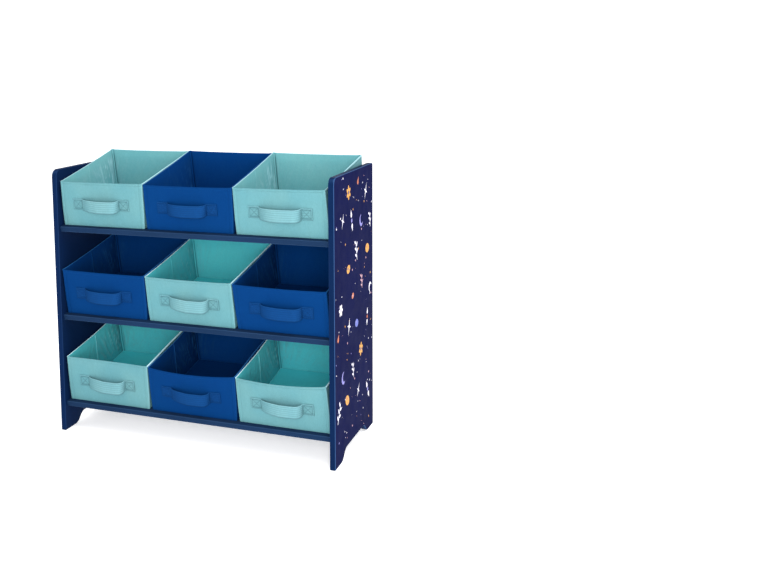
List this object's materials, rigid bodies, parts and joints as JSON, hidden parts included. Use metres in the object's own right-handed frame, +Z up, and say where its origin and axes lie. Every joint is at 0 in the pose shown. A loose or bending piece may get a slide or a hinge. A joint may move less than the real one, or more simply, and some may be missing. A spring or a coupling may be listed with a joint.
{
  "type": "toy storage organizer with bins",
  "caption": "Children's board case with forward-tilted shelves that carry rows of loose, open-topped fabric bins with looped strap handles.",
  "frame": {"origin": "on the floor, at the middle of the whole organizer's footprint", "axes": "+X towards the right-hand side panel seen from the front, +Y towards the rear, +Z up; the bins' fronts look towards -Y"},
  "size_m": [0.64, 0.3032, 0.6093],
  "materials": {
    "painted_board": "satin painted fibreboard, navy",
    "printed_board": "satin painted fibreboard, navy, with small printed motifs on the outer face",
    "fabric_aqua": "matt non-woven fabric, pale aqua",
    "fabric_blue": "matt non-woven fabric, royal blue",
    "strap_aqua": "matt folded and stitched fabric strap, pale aqua",
    "strap_blue": "matt folded and stitched fabric strap, royal blue",
    "bin_card": "matt grey board",
    "base_board": "matt grey board under fabric",
    "dowel_wood": "plain beech",
    "fitting_metal": "zinc-plated"
  },
  "bodies": {
    "case": {"side_panel_right": "printed_board", "side_panel_left": "printed_board", "cam_bolts": "fitting_metal", "cam_locks": "fitting_metal", "dowels": "dowel_wood", "shelf_1": "painted_board", "rear_rail_1": "painted_board", "shelf_2": "painted_board", "rear_rail_2": "painted_board", "shelf_3": "painted_board", "rear_rail_3": "painted_board"},
    "bin_1_1": {"bin_1_1_cover": "fabric_aqua", "bin_1_1_wall_cards": "bin_card", "bin_1_1_base_board": "base_board", "bin_1_1_handle": "strap_aqua"},
    "bin_1_2": {"bin_1_2_cover": "fabric_blue", "bin_1_2_wall_cards": "bin_card", "bin_1_2_base_board": "base_board", "bin_1_2_handle": "strap_blue"},
    "bin_1_3": {"bin_1_3_cover": "fabric_aqua", "bin_1_3_wall_cards": "bin_card", "bin_1_3_base_board": "base_board", "bin_1_3_handle": "strap_aqua"},
    "bin_2_1": {"bin_2_1_cover": "fabric_blue", "bin_2_1_wall_cards": "bin_card", "bin_2_1_base_board": "base_board", "bin_2_1_handle": "strap_blue"},
    "bin_2_2": {"bin_2_2_cover": "fabric_aqua", "bin_2_2_wall_cards": "bin_card", "bin_2_2_base_board": "base_board", "bin_2_2_handle": "strap_aqua"},
    "bin_2_3": {"bin_2_3_cover": "fabric_blue", "bin_2_3_wall_cards": "bin_card", "bin_2_3_base_board": "base_board", "bin_2_3_handle": "strap_blue"},
    "bin_3_1": {"bin_3_1_cover": "fabric_aqua", "bin_3_1_wall_cards": "bin_card", "bin_3_1_base_board": "base_board", "bin_3_1_handle": "strap_aqua"},
    "bin_3_2": {"bin_3_2_cover": "fabric_blue", "bin_3_2_wall_cards": "bin_card", "bin_3_2_base_board": "base_board", "bin_3_2_handle": "strap_blue"},
    "bin_3_3": {"bin_3_3_cover": "fabric_aqua", "bin_3_3_wall_cards": "bin_card", "bin_3_3_base_board": "base_board", "bin_3_3_handle": "strap_aqua"}
  },
  "joints": [
    {"name": "bin_1_1_slide", "type": "slide", "parent": "case", "child": "bin_1_1", "axis": [0, -0.9848, -0.1736], "range_m": [0, 0.28]},
    {"name": "bin_1_2_slide", "type": "slide", "parent": "case", "child": "bin_1_2", "axis": [0, -0.9848, -0.1736], "range_m": [0, 0.28]},
    {"name": "bin_1_3_slide", "type": "slide", "parent": "case", "child": "bin_1_3", "axis": [0, -0.9848, -0.1736], "range_m": [0, 0.28]},
    {"name": "bin_2_1_slide", "type": "slide", "parent": "case", "child": "bin_2_1", "axis": [0, -0.9848, -0.1736], "range_m": [0, 0.28]},
    {"name": "bin_2_2_slide", "type": "slide", "parent": "case", "child": "bin_2_2", "axis": [0, -0.9848, -0.1736], "range_m": [0, 0.28]},
    {"name": "bin_2_3_slide", "type": "slide", "parent": "case", "child": "bin_2_3", "axis": [0, -0.9848, -0.1736], "range_m": [0, 0.28]},
    {"name": "bin_3_1_slide", "type": "slide", "parent": "case", "child": "bin_3_1", "axis": [0, -0.9848, -0.1736], "range_m": [0, 0.28]},
    {"name": "bin_3_2_slide", "type": "slide", "parent": "case", "child": "bin_3_2", "axis": [0, -0.9848, -0.1736], "range_m": [0, 0.28]},
    {"name": "bin_3_3_slide", "type": "slide", "parent": "case", "child": "bin_3_3", "axis": [0, -0.9848, -0.1736], "range_m": [0, 0.28]}
  ]
}
